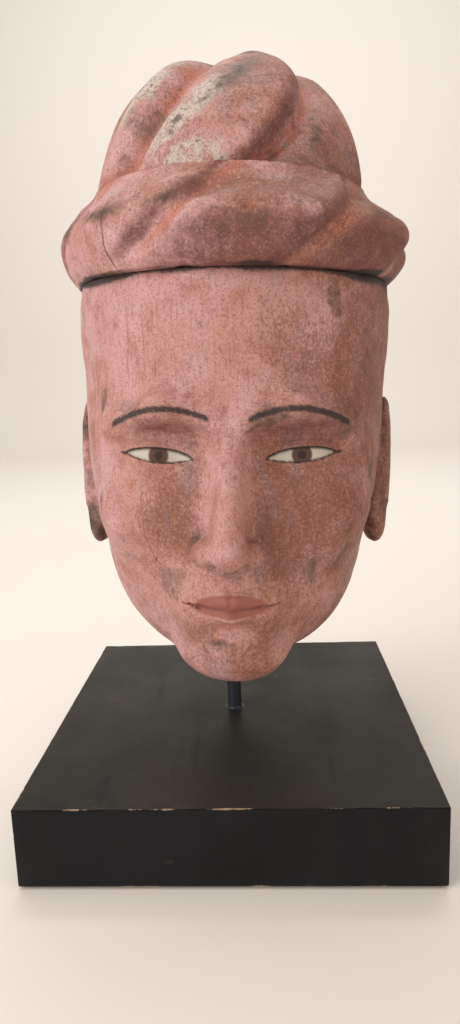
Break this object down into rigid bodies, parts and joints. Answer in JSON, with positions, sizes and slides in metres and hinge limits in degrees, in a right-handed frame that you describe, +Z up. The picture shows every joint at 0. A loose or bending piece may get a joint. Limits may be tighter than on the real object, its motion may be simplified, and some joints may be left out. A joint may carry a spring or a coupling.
{
  "type": "carved wooden head on stand",
  "caption": "Carved, painted wooden head in a twisted and folded turban, raised on a steel rod over a square black wooden plinth.",
  "frame": {"origin": "middle of the felt's underside, on the surface that the plinth stands on", "axes": "+Z up along the rod, the face looks along -Y, its left ear is at +X"},
  "size_m": [0.25, 0.25, 0.4878],
  "materials": {
    "painted_carved_wood": "worn pink paint over white ground, matt, grimy in the cuts",
    "black_painted_wood": "black paint, satin, rubbed pale on the edges",
    "black_painted_steel": "blue-black paint, satin",
    "bare_wood": "unpainted, planed",
    "bright_steel": "turned, bright",
    "black_felt": "pressed felt"
  },
  "bodies": {
    "stand": {"plinth_top_board": "black_painted_wood", "plinth_front_board": "black_painted_wood", "plinth_right_board": "black_painted_wood", "plinth_back_board": "black_painted_wood", "plinth_left_board": "black_painted_wood", "felt_sheet": "black_felt", "bottom_panel": "bare_wood", "corner_block_1": "bare_wood", "corner_block_2": "bare_wood", "corner_block_3": "bare_wood", "corner_block_4": "bare_wood", "panel_screw_1": "bright_steel", "panel_screw_2": "bright_steel", "panel_screw_3": "bright_steel", "panel_screw_4": "bright_steel", "rod_socket": "bright_steel", "flange_screw_1": "bright_steel", "flange_screw_2": "bright_steel", "flange_screw_3": "bright_steel", "flange_screw_4": "bright_steel"},
    "rod": {"steel_rod": "black_painted_steel"},
    "head": {"face_block": "painted_carved_wood", "back_block": "painted_carved_wood", "turban_roll": "painted_carved_wood", "turban_dome": "painted_carved_wood", "left_ear": "painted_carved_wood", "right_ear": "painted_carved_wood", "neck_plug": "bare_wood", "neck_sleeve": "bright_steel", "head_peg_1": "bare_wood", "head_peg_2": "bare_wood", "head_peg_3": "bare_wood", "head_peg_4": "bare_wood", "dome_peg_1": "bare_wood", "dome_peg_2": "bare_wood", "dome_peg_3": "bare_wood", "dome_peg_4": "bare_wood", "roll_peg_1": "bare_wood", "roll_peg_2": "bare_wood", "roll_peg_3": "bare_wood", "left_ear_peg": "bare_wood", "right_ear_peg": "bare_wood"}
  },
  "joints": [
    {"name": "rod_swivel", "type": "hinge", "parent": "stand", "child": "rod", "pos_m": [0, 0, 0.04], "axis": [0, 0, 1], "continuous": true},
    {"name": "head_lift", "type": "slide", "parent": "rod", "child": "head", "axis": [0, 0, 1], "range_m": [0, 0.075]}
  ]
}
